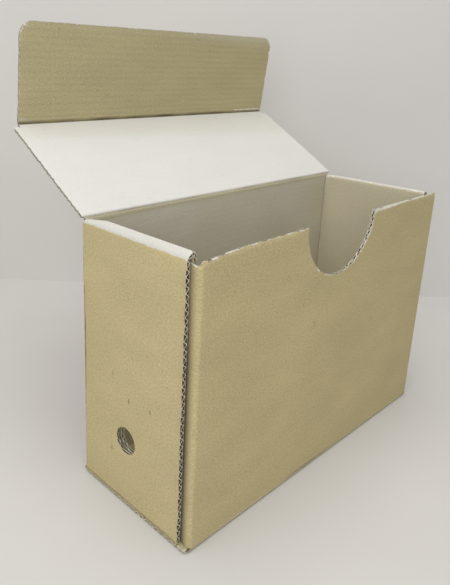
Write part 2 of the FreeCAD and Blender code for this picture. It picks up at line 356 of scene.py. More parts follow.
class Sheet:
    """Flat outline of one run of board, with its cut edges, holes and fold line."""

    def __init__(self, fold, runs, holes=(), across="s", torn=1.0):
        self.fold, self.runs, self.holes = fold, runs, holes
        self.across, self.torn = across, torn

    def outline(self, seed, ragged):
        """Outer loop and holes, roughened where the board is cut, and the cut segments."""
        loop = []
        cut = []
        for number, (points, is_cut) in enumerate(self.runs):
            line = divide(points, EDGE_STEP)
            if is_cut:
                line = self.roughen(line, seed + number, ragged * self.torn)
                cut += list(zip(line[:-1], line[1:]))
            loop += line[:-1]
        loops = [np.array(loop)]
        for number, (u, s, radius, shape) in enumerate(self.holes):
            if shape == "round":
                rng = np.random.default_rng(seed + 40 + number)
                reach = radius + rng.normal(0, ragged * 0.25, HOLE_SIDES)
                turns = [2 * math.pi * i / HOLE_SIDES for i in range(HOLE_SIDES)]
                ring = [(u + r * math.cos(a), s + r * math.sin(a)) for r, a in zip(reach, turns)]
            else:
                hu, hs = radius
                ring = [(u - hu, s - hs), (u + hu, s - hs), (u + hu, s + hs), (u - hu, s + hs)]
            ring = [np.array(p) for p in ring]
            cut += list(zip(ring, ring[1:] + ring[:1]))
            loops.append(np.array(ring))
        return loops, cut

    def roughen(self, line, seed, ragged):
        """Move a cut edge inwards by small random amounts; its ends stay."""
        rng = np.random.default_rng(seed)
        pts = np.array(line)
        if len(pts) < 4:
            return line
        way = np.gradient(pts, axis=0)
        way /= np.maximum(np.linalg.norm(way, axis=1)[:, None], 1e-9)
        inward = np.stack([-way[:, 1], way[:, 0]], 1) * self.turning()
        size = np.abs(rng.normal(0, 0.5, len(pts))) * ragged
        size[rng.random(len(pts)) > 0.93] *= 3.0
        size[[0, -1]] = 0
        return list(pts + inward * size[:, None])

    def turning(self):
        """1 where the outline runs anticlockwise, so that its inside is on the left."""
        pts = np.array([p for points, _ in self.runs for p in points[:-1]])
        nxt = np.roll(pts, -1, axis=0)
        area = np.sum(pts[:, 0] * nxt[:, 1] - nxt[:, 0] * pts[:, 1])
        return 1 if area > 0 else -1

    def triangles(self, loops, cut):
        """Even triangles that fill the outline; their points, faces and distance to a cut."""
        along, across = STEPS if self.across == "s" else STEPS[::-1]
        scale = np.array([1 / along, 1 / across])
        lo, hi = loops[0].min(0), loops[0].max(0)
        us = np.arange(lo[0] + along / 2, hi[0], along)
        ss = self.rows(lo[1], hi[1], across)
        grid = np.array([(u, s) for s in ss for u in us])
        even = [loop * scale for loop in loops]
        border = [pair for loop in even for pair in zip(loop, np.roll(loop, -1, axis=0))]
        keep = inside_loops(grid * scale, even) & (gap_to(grid * scale, border) > 0.30)
        pts, tris = fill(even, grid[keep] * scale)
        pts = pts / scale
        tris = tris[inside_loops(pts[tris].mean(1), loops)]
        used, tris = np.unique(tris, return_inverse=True)
        pts = pts[used]
        tris = tris.reshape(-1, 3)
        a, b, c = pts[tris[:, 0]], pts[tris[:, 1]], pts[tris[:, 2]]
        area = (b[:, 0] - a[:, 0]) * (c[:, 1] - a[:, 1]) - (b[:, 1] - a[:, 1]) * (c[:, 0] - a[:, 0])
        tris[area < 0] = tris[area < 0][:, ::-1]
        distance = gap_to(pts, cut) if cut else np.full(len(pts), 1e3)
        return pts, tris, distance

    def rows(self, low_s, high_s, step):
        """Rows across the sheet: even on panels, close together on folds."""
        marks = [low_s]
        for start, run, _, _, curve in self.fold.parts:
            n = max(1, int(math.ceil(run / (FOLD_STEP if curve else step))))
            marks += [start + run * (i + 0.5) / n for i in range(n)]
            if curve:
                marks += [start - d for d in BESIDE_FOLD] + [start + run + d for d in BESIDE_FOLD]
        marks.sort()
        kept = [marks[0]]
        for mark in marks[1:]:
            if mark - kept[-1] > 0.3:
                kept.append(mark)
        return [m for m in kept if low_s < m < high_s]


def linked(name, data):
    """New object in the scene."""
    thing = bpy.data.objects.new(name, data)
    bpy.context.scene.collection.objects.link(thing)
    return thing


def read_points(mesh):
    """A mesh's points in millimetres."""
    co = np.empty(len(mesh.vertices) * 3, np.float32)
    mesh.vertices.foreach_get("co", co)
    return co.reshape(-1, 3).astype(float) / MM


def write_points(mesh, co):
    """Place a mesh's points, given in millimetres."""
    mesh.vertices.foreach_set("co", (co * MM).ravel().astype(np.float32))


def set_uv(mesh, flat, across):
    """UV map of the flat sheet in metres, with V across the flutes."""
    if across == "u":
        flat = flat[:, ::-1]
    uv = mesh.uv_layers.new(name="sheet")
    index = np.empty(len(mesh.loops), np.int32)
    mesh.loops.foreach_get("vertex_index", index)
    uv.data.foreach_set("uv", (flat * MM)[index].ravel().astype(np.float32))


def rim_faces(tris, n):
    """Faces that close two copies of a triangulation, n points apart."""
    edges = {(t[i], t[(i + 1) % 3]) for t in tris for i in range(3)}
    return sorted((b, a, a + n, b + n) for a, b in edges if (b, a) not in edges)


def shell_mesh(name, sheet, pts, tris, offsets, layers, side):
    """Closed thin mesh between two offsets of one flat triangulation; one side faces the flutes."""
    n = len(pts)
    co = np.vstack([sheet.fold.place(pts[:, 0], pts[:, 1], w) for w in offsets])
    up = tris if sheet.fold.handed > 0 else tris[:, ::-1]
    rim = rim_faces(up.tolist(), n)
    mesh = bpy.data.meshes.new(name)
    mesh.from_pydata((co * MM).tolist(), [], up.tolist() + (up[:, ::-1] + n).tolist() + rim)
    set_uv(mesh, np.vstack([pts, pts]), sheet.across)
    for key, value in layers.items():
        layer = mesh.attributes.new(key, "FLOAT", "POINT")
        layer.data.foreach_set("value", np.concatenate([value, value]).astype(np.float32))
    index = np.repeat([2 * (side < 0), 2 * (side > 0), 1], [len(tris), len(tris), len(rim)])
    mesh.polygons.foreach_set("material_index", index.astype(np.int32))
    mesh.shade_smooth()
    mesh.set_sharp_from_angle(angle=SHARP_LINER)
    return mesh


def new_piece(name, mesh, *looks):
    """Object at the origin with its materials: face, cut edge and the side towards the flutes."""
    piece = linked(name, mesh)
    index = np.zeros(len(mesh.polygons), np.int32)
    mesh.polygons.foreach_get("material_index", index)
    mesh.materials.clear()
    for look in looks:
        mesh.materials.append(look)
    mesh.polygons.foreach_set("material_index", np.minimum(index, len(looks) - 1))
    return piece


def liner(name, sheet, side, material, scores=(), crush=0.10, bow=None, grooves=(), flare=None,
          hollow="medium", **rules):
    """One face paper of a board; side is 1 outside and -1 inside.

    The rules give the wear attribute and the painted fold highlight, painted shade and painted highlight
    attributes from place and distance to a cut.
    """
    board = board_sizes()
    loops, cut = sheet.outline(board.seed, board.ragged)
    pts, tris, gap = sheet.triangles(loops, cut)
    u, s = pts[:, 0], pts[:, 1]
    across = s if sheet.across == "s" else u
    wave = 0.5 - 0.5 * side * np.sin(2 * math.pi * across / board.pitch)
    depth = board.washboard * wave * smooth(0, 3, gap)
    press = crush(u, s) if callable(crush) else crush
    lean = press * (1 + 0.9 * swell(u, s, own_seed(name) + 3, 19.0)) * bump(gap, CRUSH_WIDTH)
    half = HALF * (1 - np.clip(lean, 0, MOST_CRUSH)) - depth
    for place, width, keep in scores:
        half *= 1 - (1 - keep) * bump(s - place, width)
    for place, width, deep in grooves:
        half -= deep * bump(s - place, width)
    shift = np.zeros_like(u) if bow is None else bow(u, s)
    if side > 0 and flare is not None:
        shift = shift + flare(u, s)
    outer = side * half + shift
    inner = side * np.maximum(half - board.liner, LEAST_HALF) + shift
    blank = np.zeros_like(u)
    layers = {key: np.clip(rules[key](u, s, gap), 0, 1) if key in rules else blank for key in LAYERS}
    mesh = shell_mesh(name, sheet, pts, tris, (outer, inner)[::side], layers, side)
    look = materials()
    return new_piece(name, mesh, material, look["cut"], look[hollow])


# Geometry nodes
class Tree:
    """Short hand for building one node tree."""

    def __init__(self, tree):
        self.tree = tree

    def add(self, kind, inputs=None, **settings):
        """New node with its settings and inputs; an input is a value or an output socket."""
        node = self.tree.nodes.new(kind)
        for key, value in settings.items():
            setattr(node, key, value)
        for key, value in (inputs or {}).items():
            socket = node.inputs[key]
            if isinstance(value, bpy.types.NodeSocket):
                self.tree.links.new(value, socket)
            else:
                socket.default_value = value
        return node

    def out(self, kind, inputs=None, **settings):
        """First output of a new node."""
        return self.add(kind, inputs, **settings).outputs[0]

    def maths(self, operation, *values):
        return self.out("ShaderNodeMath", dict(enumerate(values)), operation=operation)

    def times(self, a, b):
        return self.maths("MULTIPLY", a, b)

    def plus(self, a, b):
        return self.maths("ADD", a, b)

    def minus(self, a, b):
        return self.maths("SUBTRACT", a, b)

    def scaled(self, vector, by):
        return self.out("ShaderNodeVectorMath", {0: vector, "Scale": by}, operation="SCALE")


def group_sockets(tree, inputs, outputs):
    """Declare a group's sockets as (name, type, default)."""
    for side, rows in (("INPUT", inputs), ("OUTPUT", outputs)):
        for name, kind, default in rows:
            socket = tree.interface.new_socket(name=name, in_out=side, socket_type="NodeSocket" + kind)
            if default is not None:
                socket.default_value = default


def geometry_tree(name, inputs):
    """New geometry node tree and the sockets of its named inputs."""
    tree = bpy.data.node_groups.new(name, "GeometryNodeTree")
    rows = inputs + (("Seed", "Int", 0), ("Material", "Material", None))
    group_sockets(tree, rows, (("Geometry", "Geometry", None),))
    t = Tree(tree)
    return t, t.add("NodeGroupInput").outputs


def close_tree(t, shape, given):
    """End a geometry node tree: plain geometry with its material."""
    real = t.out("GeometryNodeRealizeInstances", {"Geometry": shape})
    done = t.out("GeometryNodeSetMaterial", {"Geometry": real, "Material": given["Material"]})
    t.add("NodeGroupOutput", {0: done})
    return t.tree


def flute_tree():
    """Geometry nodes for a strip of fluted paper: a wavy closed sheet."""
    t, given = geometry_tree("fluted_paper", (
        ("Across", "Float", 0.1), ("Along", "Float", 0.01), ("Start", "Float", 0.0),
        ("Pitch", "Float", 0.008), ("Rise", "Float", 0.0014), ("Paper", "Float", 0.0003),
        ("Rows", "Int", 60), ("Columns", "Int", 4), ("Crumple", "Float", 0.0002),
    ))
    size = t.out("ShaderNodeCombineXYZ", {0: given["Along"], 1: given["Across"], 2: given["Paper"]})
    rows = {"Vertices X": given["Columns"], "Vertices Y": given["Rows"], "Vertices Z": 2}
    block = t.out("GeometryNodeMeshCube", {"Size": size, **rows})
    at = t.add("ShaderNodeSeparateXYZ", {0: t.out("GeometryNodeInputPosition")}).outputs
    half = t.times(given["Across"], 0.5)
    across = t.plus(t.plus(at[1], half), given["Start"])
    phase = t.times(t.maths("DIVIDE", across, given["Pitch"]), 2 * math.pi)
    spot = t.out("ShaderNodeCombineXYZ", {0: at[0], 1: across, 2: given["Seed"]})
    cloud = t.add("ShaderNodeTexNoise", {"Vector": spot, "Scale": 160.0, "Detail": 1.0}).outputs["Color"]
    jitter = t.out("ShaderNodeVectorMath", {0: cloud, 1: (0.5, 0.5, 0.5)}, operation="SUBTRACT")
    whole = t.out("ShaderNodeCombineXYZ", {2: t.times(t.maths("SINE", phase), given["Rise"])})
    slide = t.out("ShaderNodeCombineXYZ", {1: t.plus(half, given["Start"])})
    for part in (t.scaled(jitter, given["Crumple"]), slide):
        whole = t.out("ShaderNodeVectorMath", {0: whole, 1: part}, operation="ADD")
    waved = t.out("GeometryNodeSetPosition", {"Geometry": block, "Offset": whole})
    return close_tree(t, waved, given)


def fibre_tree():
    """Geometry nodes for torn paper fibres scattered along the cut edges."""
    t, given = geometry_tree("torn_fibres", (
        ("Edges", "Geometry", None), ("Spacing", "Float", 0.0006), ("Length", "Float", 0.0016),
        ("Width", "Float", 0.00007), ("Scatter", "Float", 0.0008),
    ))

    def scattered(number, reach):
        """Random vector with each part between -reach and reach."""
        values = {"Min": (-reach,) * 3, "Max": (reach,) * 3, "Seed": t.plus(given["Seed"], number)}
        return t.out("FunctionNodeRandomValue", values, data_type="FLOAT_VECTOR")

    line = t.out("GeometryNodeMeshToCurve", {"Mesh": given["Edges"]})
    spots = t.out("GeometryNodeCurveToPoints", {"Curve": line, "Length": given["Spacing"]}, mode="LENGTH")
    off = t.scaled(scattered(1, 1.0), given["Scatter"])
    loose = t.out("GeometryNodeSetPosition", {"Geometry": spots, "Offset": off})
    bend = t.out(
        "GeometryNodeCurveQuadraticBezier",
        {"Resolution": 3, "Start": (0, 0, 0), "Middle": (0.5, 0.28, 0.0), "End": (1, 0, 0.12)},
    )
    radius = t.maths("DIVIDE", given["Width"], given["Length"])
    thin = t.out("GeometryNodeCurvePrimitiveCircle", {"Resolution": 3, "Radius": radius})
    hair = t.out("GeometryNodeCurveToMesh", {"Curve": bend, "Profile Curve": thin, "Fill Caps": True})
    turn = t.out("FunctionNodeEulerToRotation", {0: scattered(2, math.pi)})
    limits = {2: 0.35, 3: 1.0, "Seed": t.plus(given["Seed"], 3)}
    grow = t.add("FunctionNodeRandomValue", limits, data_type="FLOAT").outputs[1]
    hairs = t.out(
        "GeometryNodeInstanceOnPoints",
        {"Points": loose, "Instance": hair, "Rotation": turn, "Scale": t.times(grow, given["Length"])},
    )
    return close_tree(t, hairs, given)


def applied(holder, name):
    """Mesh of a temporary object after its modifier."""
    graph = bpy.context.evaluated_depsgraph_get()
    mesh = bpy.data.meshes.new_from_object(holder.evaluated_get(graph), depsgraph=graph)
    holder.modifiers.clear()
    bpy.data.objects.remove(holder)
    mesh.name = name
    return mesh


def grown_mesh(name, source, tree, values):
    """Mesh that a node tree makes on an object, as plain data."""
    holder = linked(name + "_maker", source)
    modifier = holder.modifiers.new("maker", "NODES")
    modifier.node_group = tree
    for item in tree.interface.items_tree:
        if item.in_out == "INPUT" and item.name in values:
            modifier[item.identifier] = values[item.name]
    return applied(holder, name)


def prism(name, loops):
    """Temporary solid that trims fluted paper to an outline, in sheet coordinates."""
    pts, tris = fill(loops)
    tris = tris[inside_loops(pts[tris].mean(1), loops)]
    n = len(pts)
    mesh = bpy.data.meshes.new(name)
    faces = tris.tolist() + (tris[:, ::-1] + n).tolist() + rim_faces(tris.tolist(), n)
    mesh.from_pydata([(x * MM, y * MM, z) for z in (TRIM_HEIGHT, -TRIM_HEIGHT) for x, y in pts], [], faces)
    work = bmesh.new()
    work.from_mesh(mesh)
    bmesh.ops.recalc_face_normals(work, faces=work.faces)
    work.to_mesh(mesh)
    work.free()
    return linked(name, mesh)


def intersect(name, mesh, shape):
    """Keep what lies inside the shape."""
    holder = linked(name + "_trim", mesh)
    modifier = holder.modifiers.new("trim", "BOOLEAN")
    modifier.operation = "INTERSECT"
    modifier.solver = "EXACT"
    modifier.object = shape
    out = applied(holder, name)
    bpy.data.objects.remove(shape)
    return out


def join_meshes(name, meshes):
    """One mesh from several."""
    work = bmesh.new()
    for mesh in meshes:
        work.from_mesh(mesh)
        bpy.data.meshes.remove(mesh)
    out = bpy.data.meshes.new(name)
    work.to_mesh(out)
    work.free()
    return out


def flutes(name, sheet, windows, material, trim=False, scores=(), bow=None, flare=None):
    """Fluted paper of a board, in the windows where it can be seen."""
    board = board_sizes()
    tree = bpy.data.node_groups.get("fluted_paper") or flute_tree()
    loops, cut = sheet.outline(board.seed, 0.0)
    rise = HALF - board.liner - board.medium / 2 - 0.02
    turned = sheet.across == "u"
    parts = []
    for number, (u0, u1, s0, s1) in enumerate(windows):
        along0, along1, across0, across1 = (s0, s1, u0, u1) if turned else (u0, u1, s0, s1)
        span = across1 - across0
        values = {
            "Across": span * MM, "Along": (along1 - along0) * MM, "Start": across0 * MM,
            "Pitch": board.pitch * MM, "Rise": rise * MM, "Paper": board.medium * MM,
            "Rows": int(span / board.pitch * 12) + 2, "Columns": max(3, int((along1 - along0) / 4) + 2),
            "Crumple": 0.8 * MM, "Seed": board.seed + number, "Material": material,
        }
        mesh = grown_mesh(name, bpy.data.meshes.new(name), tree, values)
        co = read_points(mesh)
        co[:, 0] += (along0 + along1) / 2
        if turned:
            co[:, [0, 1]] = co[:, [1, 0]]
            mesh.flip_normals()
        write_points(mesh, co)
        parts.append(mesh)
    joined = join_meshes(name, parts)
    if trim:
        joined = intersect(name, joined, prism(name + "_outline", loops))
    facing = np.empty(len(joined.polygons) * 3, np.float32)
    joined.polygons.foreach_get("normal", facing)
    ends = (np.abs(facing.reshape(-1, 3)[:, 2]) < 0.3).astype(np.int32)
    joined.polygons.foreach_set("material_index", ends)
    co = read_points(joined)
    u, s, w = co[:, 0], co[:, 1], co[:, 2]
    if cut:
        w = w * (1 - 0.08 * bump(gap_to(co[:, :2], cut), CRUSH_WIDTH))
    for place, width, keep in scores:
        w = w * (1 - (1 - keep) * bump(s - place, width))
    if bow is not None:
        w = w + bow(u, s)
    if flare is not None:
        w = w + flare(u, s) * smooth(-HALF, HALF, w)
    write_points(joined, sheet.fold.place(u, s, w))
    if sheet.fold.handed < 0:
        joined.flip_normals()
    set_uv(joined, co[:, :2], sheet.across)
    joined.shade_smooth()
    joined.set_sharp_from_angle(angle=SHARP_FLUTES)
    return new_piece(name, joined, material, materials()["cut"])


def fibres(name, sheet, lines, material, spacing, length, scatter, offset, width=0.07):
    """Torn fibres along lines given in sheet coordinates; sizes and the offset are in millimetres."""
    tree = bpy.data.node_groups.get("torn_fibres") or fibre_tree()
    verts = []
    edges = []
    for line in lines:
        pts = np.array(divide(line, 2.0))
        base = len(verts)
        verts += (sheet.fold.place(pts[:, 0], pts[:, 1], np.full(len(pts), offset)) * MM).tolist()
        edges += [(base + i, base + i + 1) for i in range(len(pts) - 1)]
    source = bpy.data.meshes.new(name + "_lines")
    source.from_pydata(verts, edges, [])
    values = {
        "Spacing": spacing * MM, "Length": length * MM, "Scatter": scatter * MM, "Width": width * MM,
        "Seed": own_seed(name), "Material": material,
    }
    return new_piece(name, grown_mesh(name, source, tree, values), material)


# Paper: shared shader groups and materials
def shader_group(name, inputs, outputs, build):
    """Node group that turns the flat vector and named values into masks; made once."""
    found = bpy.data.node_groups.get(name)
    if found:
        return found
    tree = bpy.data.node_groups.new(name, "ShaderNodeTree")
    rows = [("Vector", "Vector", None)] + [(key, "Float", value) for key, value in inputs.items()]
    group_sockets(tree, rows, [(key, "Float", None) for key in outputs])
    t = Tree(tree)
    results = build(t, t.add("NodeGroupInput").outputs)
    t.add("NodeGroupOutput", dict(enumerate(results)))
    return tree


def stretched(t, vector, scale):
    """Vector with each axis scaled."""
    return t.out("ShaderNodeMapping", {"Vector": vector, "Scale": scale})


def noise(t, vector, scale, detail, roughness=0.5):
    """Grey noise, stretched along each axis."""
    values = {"Scale": 1.0, "Detail": detail, "Roughness": roughness}
    return t.out("ShaderNodeTexNoise", {"Vector": stretched(t, vector, scale), **values})


def remap(t, value, from_low, from_high, to_low=0.0, to_high=1.0):
    """Clamped linear remap."""
    values = {"From Min": from_low, "From Max": from_high, "To Min": to_low, "To Max": to_high}
    return t.out("ShaderNodeMapRange", {"Value": value, **values})


def mix(t, fac, a, b, blend="MIX"):
    """Mix of two colours, each a socket or three numbers."""
    a, b = [c if isinstance(c, bpy.types.NodeSocket) else (*c, 1.0) for c in (a, b)]
    return t.add("ShaderNodeMix", {0: fac, 6: a, 7: b}, data_type="RGBA", blend_type=blend).outputs[2]


def grey(t, value):
    """Colour with one value in all its parts."""
    return t.out("ShaderNodeCombineColor", {0: value, 1: value, 2: value})


def build_fibre_grain(t, given):
    """Speckle, fibre flecks and cloudy mottle of recycled kraft paper."""
    flat = given["Vector"]
    cloud = noise(t, flat, (9, 22, 22), 3.0, 0.55)
    formation = noise(t, flat, (290, 380, 380), 2.0, 0.6)
    fine = noise(t, flat, (560, 720, 720), 2.0, 0.65)
    streak = noise(t, flat, (60, 1500, 1500), 1.0, 0.5)
    tone = t.times(t.minus(cloud, 0.5), 0.32)
    for layer, part in ((formation, 0.42), (fine, 1.1), (streak, 0.12)):
        tone = t.plus(tone, t.times(t.minus(layer, 0.5), part))
    tone = t.maths("MULTIPLY_ADD", tone, given["Contrast"], 1.0)
    cells = t.add("ShaderNodeTexVoronoi", {"Vector": stretched(t, flat, (130, 220, 220)), "Scale": 1.0})
    near = remap(t, cells.outputs["Distance"], 0.08, 0.2, 1.0, 0.0)
    pick = t.add("ShaderNodeSeparateColor", {0: cells.outputs["Color"]}).outputs
    dark = t.times(near, t.maths("GREATER_THAN", pick[0], 0.94))
    light = t.times(near, t.maths("GREATER_THAN", pick[1], 0.93))
    return tone, dark, light, t.plus(t.times(formation, 0.5), t.times(fine, 0.5))


def build_washboard(t, given):
    """Faint, uneven lines over the flutes."""
    flat = given["Vector"]
    across = t.add("ShaderNodeSeparateXYZ", {0: flat}).outputs[1]
    warp = noise(t, flat, (14, 60, 60), 1.0)
    phase = t.times(t.maths("DIVIDE", across, given["Pitch"]), 2 * math.pi)
    phase = t.plus(phase, t.times(warp, 0.9))
    line = t.maths("POWER", t.maths("MULTIPLY_ADD", t.maths("SINE", phase), 0.5, 0.5), 2.0)
    patch = remap(t, noise(t, flat, (16, 90, 90), 2.0), 0.36, 0.64, 0.35, 1.0)
    return (t.minus(1.0, t.times(line, patch)),)


def build_edge_wear(t, given):
    """Broken-up mask from the wear attribute."""
    rough = noise(t, given["Vector"], (240, 420, 420), 3.0, 0.7)
    level = t.plus(given["Wear"], t.times(t.minus(rough, 0.5), given["Break"]))
    return (remap(t, level, 0.45, 0.62),)


def build_scuffs(t, given):
    """Soft smudges and short scratches from handling."""
    flat = given["Vector"]
    smudge = remap(t, noise(t, flat, (26, 30, 30), 3.0, 0.6), 0.60, 0.78)
    scratch = remap(t, noise(t, flat, (16, 260, 260), 1.0, 0.4), 0.70, 0.76)
    where = remap(t, noise(t, flat, (9, 12, 12), 1.0), 0.52, 0.62)
    return t.times(smudge, given["Amount"]), t.times(scratch, where)


EFFECTS = {
    "grain": (
        "paper_fibre_grain", {"Contrast": 0.2}, ("Tone", "Dark fleck", "Light fleck", "Height"),
        build_fibre_grain,
    ),
    "washboard": ("paper_washboard", {"Pitch": 0.008}, ("Line",), build_washboard),
    "wear": ("paper_edge_wear", {"Wear": 0.0, "Break": 0.9}, ("Mask",), build_edge_wear),
    "scuffs": ("paper_scuffs", {"Amount": 0.5}, ("Smudge", "Scratch"), build_scuffs),
}
ROUGHNESS = (0.76, 0.88)


def paper(name, colour, contrast=0.85, ridge=0.0, scuff=0.4, marks=()):
    """Kraft or liner paper, with grain, washboard, scuffs, painted fold highlights, painted shade, painted
    highlight and torn edges.
    """
    found = bpy.data.materials.get(name)
    if found:
        return found
    settings = bpy.context.scene.mailer_paper
    material = bpy.data.materials.new(name)
    material.use_nodes = True
    material.node_tree.nodes.clear()
    t = Tree(material.node_tree)
    flat = t.out("ShaderNodeUVMap", uv_map="sheet")  # metres over the sheet, V across the flutes
    layer = {key: t.add("ShaderNodeAttribute", attribute_name=key).outputs["Fac"] for key in LAYERS}

    def use(key, inputs):
        """Outputs of one shared group with this paper's values."""
        group = shader_group(*EFFECTS[key])
        return t.add("ShaderNodeGroup", {"Vector": flat, **inputs}, node_tree=group).outputs

    grain = use("grain", {"Contrast": contrast})
    ridges = use("washboard", {"Pitch": board_sizes().pitch * MM})
    wear = use("wear", {"Wear": layer["wear"], "Break": 0.9})
    scuffs = use("scuffs", {"Amount": scuff})
    # Painted highlight: where it is strong, the grain fades out
    grain_kept_under_highlight = t.maths("MULTIPLY_ADD", layer["pale"], -0.68, 1.0)
    weak = t.times(grain_kept_under_highlight, grain_kept_under_highlight)
    spread = t.times(t.minus(grain["Tone"], 1.0), grain_kept_under_highlight)
    lines = t.times(t.minus(ridges["Line"], 1.0), t.times(weak, ridge))
    # Painted fold highlight: lightens the tone along the folds
    rubbed = t.times(layer["rub"], remap(t, grain["Height"], 0.35, 0.6, 0.07, 0.10))
    tone = t.plus(t.plus(t.plus(1.0, spread), lines), rubbed)
    # Painted highlight: the colour goes towards the painted highlight colour
    base = mix(t, layer["pale"], colour, settings.pale)
    base = mix(t, 1.0, base, grey(t, tone), "MULTIPLY")
    for amount, tint in (
        (t.times(grain["Dark fleck"], t.times(grain_kept_under_highlight, 0.5)), (0.15, 0.11, 0.06)),
        (t.times(grain["Light fleck"], 0.25), settings.fibre),
        (t.times(scuffs["Smudge"], 0.16), (0.22, 0.17, 0.10)),
        (t.times(scuffs["Scratch"], 0.14), settings.fibre),
        # Painted shade: darkens towards a deep brown
        (t.times(layer["grime"], 0.92), (0.085, 0.065, 0.04)),
    ):
        base = mix(t, amount, base, tint)
    for u, s, width, depth, strength in marks:
        away = t.out("ShaderNodeMapping", {"Vector": flat, "Location": (-u * MM, -s * MM, 0)})
        away = stretched(t, away, (1 / (width * MM), 1 / (depth * MM), 1.0))
        far = t.add("ShaderNodeVectorMath", {0: away}, operation="LENGTH").outputs["Value"]
        ragged = t.maths("MULTIPLY_ADD", t.minus(grain["Height"], 0.5), 2.2, far)
        spot = t.times(remap(t, ragged, 0.2, 1.1, 1.0, 0.0), strength)
        base = mix(t, spot, base, (0.11, 0.085, 0.05))
    base = mix(t, t.times(wear["Mask"], 0.85), base, settings.fibre)
    bump_height = {"Height": grain["Height"], "Strength": 0.4, "Distance": 0.00003}
    relief = t.out("ShaderNodeBump", bump_height)
    if ridge:
        raised = t.times(ridges["Line"], weak)
        relief = t.out(
            "ShaderNodeBump", {"Height": raised, "Strength": 0.4, "Distance": 0.00012, "Normal": relief}
        )
    gloss = remap(t, grain["Height"], 0.3, 0.7, *ROUGHNESS)
    surface = {"Base Color": base, "Roughness": gloss, "Specular IOR Level": 0.3, "Normal": relief}
    t.add("ShaderNodeOutputMaterial", {"Surface": t.out("ShaderNodeBsdfPrincipled", surface)})
    return material


# Small stains: place along and across the sheet, width, depth and strength
SIDE_MARKS = (
    (5.1, 130.6, 1.3, 4.2, 0.85), (-29.5, 134.2, 1.7, 2.6, 0.7), (35.6, 55.9, 1.2, 3.8, 0.85),
    (33.4, 150.7, 1.2, 6.0, 0.4),
)
FRONT_MARKS = ((350.0, 201.0, 2.0, 6.4, 0.36), (374.3, 231.2, 1.7, 3.2, 0.24))


def materials():
    """Every material of the object."""
    papers = bpy.context.scene.mailer_paper
    kraft = papers.kraft
    return {
        "kraft": paper("outer_kraft_liner", kraft),
        # Painted light: the left side's kraft is made 6% brighter, as the lit side of the box
        "side": paper("side_kraft_liner_painted_brighter", [c * 1.06 for c in kraft], marks=SIDE_MARKS),
        "front": paper("front_kraft_liner", kraft, marks=FRONT_MARKS),
        "inside": paper("inner_liner", papers.inside, contrast=0.8, ridge=0.08),
        # Two copies of the fluted paper: the walls' is darker, partly its own brown and partly painted
        # shade in the flute hollows; the lid's is painted lighter so its cut edges read as lit
        "lid_medium": paper("lid_fluted_medium_painted_light", (0.46, 0.42, 0.34), contrast=0.5, scuff=0.2),
        "medium": paper("fluted_medium_painted_dark", papers.medium, contrast=0.5, scuff=0.2),
        "cut": paper("cut_board_edge", (0.70, 0.655, 0.54), contrast=1.1, scuff=0.0),
        "fibre": paper("torn_fibre", papers.fibre, contrast=0.4, scuff=0.0),
    }


# The box's runs of board
def side_sheet(flip):
    """Outer wall, turned-over top and inner wall, as one run across Y."""
    rises = CAP_RISE[flip]
    outer_top, inner_top = CAP_Z - CAP_SLOPE + rises[0], CAP_Z + rises[1]
    corners = (
        (-SIDE_X, WALL_FOOT), (-SIDE_X, outer_top), (-INNER_X, inner_top), (-INNER_X, WALL_FOOT)
    )

    def sink(u, s):
        """The turned-over top lies lower at the back, where the lid closes on it."""
        wide = math.hypot(INNER_X - SIDE_X, inner_top - outer_top)
        past = s - outer_top + WALL_FOOT
        rise = (rises[1] - 0.3) * np.clip(past / wide, 0, 1)
        near = smooth(-90, 0, past) * smooth(90, 0, past - wide)
        return rise * near * np.clip((u - SIDE_BACK + 31) / 31, 0, 1)

    fold = Fold(corners, BEND, (0, 2, 1), flip, sink)
    end = fold.length
    tip = end + (WALL_FOOT - (low("bottom_panel", UP) + 0.8))
    foot = [(SIDE_FRONT, end)]
    for first, last in tab_places():
        foot += [(first, end), (first, tip), (last, tip), (last, end)]
    runs = (
        ([(SIDE_BACK, 0.0), (SIDE_FRONT, 0.0)], True),
        ([(SIDE_FRONT, 0.0), (SIDE_FRONT, end)], True),
        (foot + [(SIDE_BACK, end)], True),
        ([(SIDE_BACK, end), (SIDE_BACK, 0.0)], True),
    )
    places = hole_places(end).values() if flip > 0 else ()
    return Sheet(fold, runs, [(HOLE_Y, s, HOLE_RADIUS, "round") for s in places])


def hole_places(end):
    """Middle of the round hole in both layers of the left side, across its run."""
    return {"outer": OUTER_HOLE_Z - WALL_FOOT, "inner": end - (INNER_HOLE_Z - WALL_FOOT)}


def tab_places():
    """Front and back of each lock tab, along Y."""
    return ((SIDE_FRONT + TAB_START, SIDE_FRONT + TAB_END), (SIDE_BACK - TAB_END, SIDE_BACK - TAB_START))


